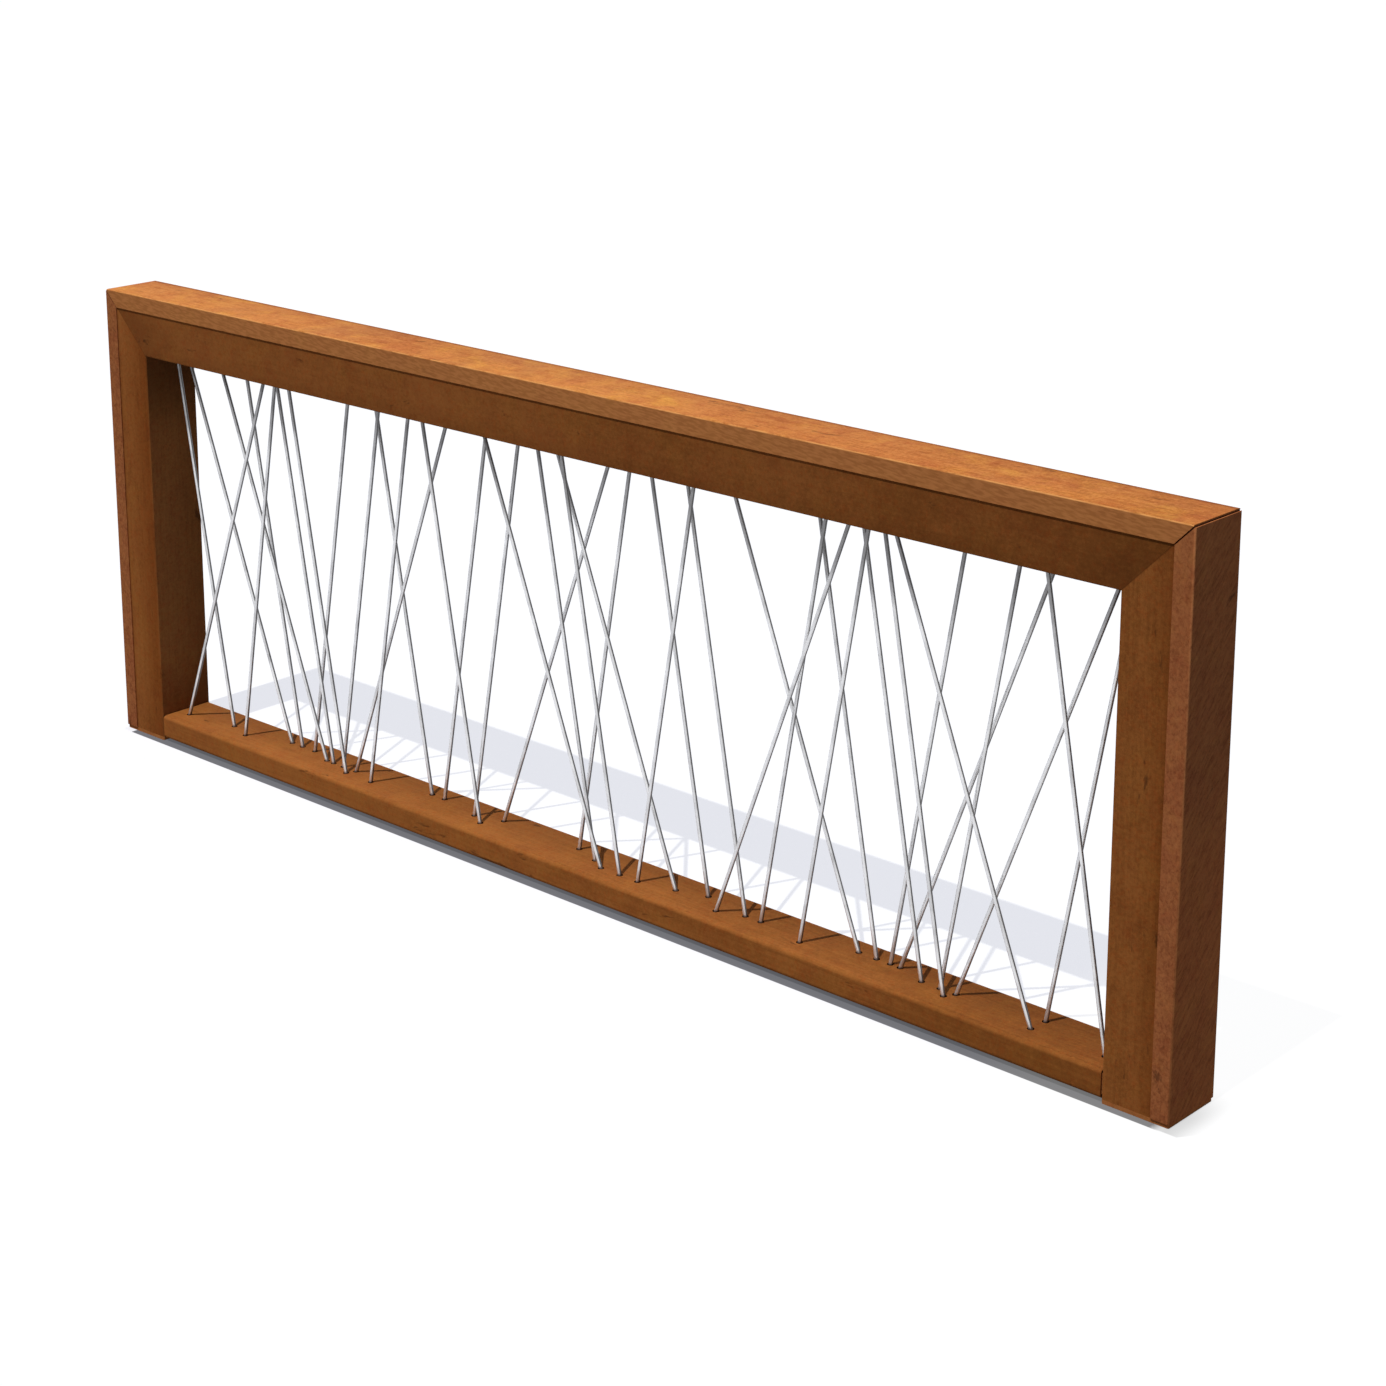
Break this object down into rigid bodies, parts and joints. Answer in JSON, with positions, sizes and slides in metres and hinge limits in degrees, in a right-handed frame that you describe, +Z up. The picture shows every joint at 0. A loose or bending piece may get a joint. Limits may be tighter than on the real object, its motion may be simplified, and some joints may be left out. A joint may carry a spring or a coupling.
{
  "type": "weathering steel fence panel",
  "caption": "Weathering-steel fence panel: a mitred box frame under folded cover sheets, with a bottom rail and an open infill of slanting stainless wires, standing on foot plates.",
  "frame": {"origin": "middle of the left foot plate's underside, where the left post stands on the ground", "axes": "+X along the panel from the left foot to the right one, -Y out of the front, +Z up"},
  "size_m": [2.14, 0.1034, 0.78],
  "materials": {
    "cover_sheet": "matte",
    "frame": "matte",
    "rail": "matte",
    "wire": "satin"
  },
  "bodies": {
    "root": {"back_wire_01": "wire", "back_wire_02": "wire", "back_wire_03": "wire", "back_wire_04": "wire", "back_wire_05": "wire", "back_wire_06": "wire", "back_wire_07": "wire", "back_wire_08": "wire", "back_wire_09": "wire", "back_wire_10": "wire", "back_wire_11": "wire", "back_wire_12": "wire", "back_wire_13": "wire", "bottom_rail": "rail", "front_wire_01": "wire", "front_wire_02": "wire", "front_wire_03": "wire", "front_wire_04": "wire", "front_wire_05": "wire", "front_wire_06": "wire", "front_wire_07": "wire", "front_wire_08": "wire", "front_wire_09": "wire", "front_wire_10": "wire", "front_wire_11": "wire", "front_wire_12": "wire", "front_wire_13": "wire", "left_end_cover": "cover_sheet", "left_foot_plate": "frame", "left_post": "frame", "left_rail_bracket": "frame", "middle_wire_01": "wire", "middle_wire_02": "wire", "middle_wire_03": "wire", "middle_wire_04": "wire", "middle_wire_05": "wire", "middle_wire_06": "wire", "middle_wire_07": "wire", "middle_wire_08": "wire", "middle_wire_09": "wire", "middle_wire_10": "wire", "middle_wire_11": "wire", "middle_wire_12": "wire", "middle_wire_13": "wire", "right_end_cover": "cover_sheet", "right_foot_plate": "frame", "right_post": "frame", "right_rail_bracket": "frame", "top_beam": "frame", "top_cap": "cover_sheet"}
  },
  "joints": []
}
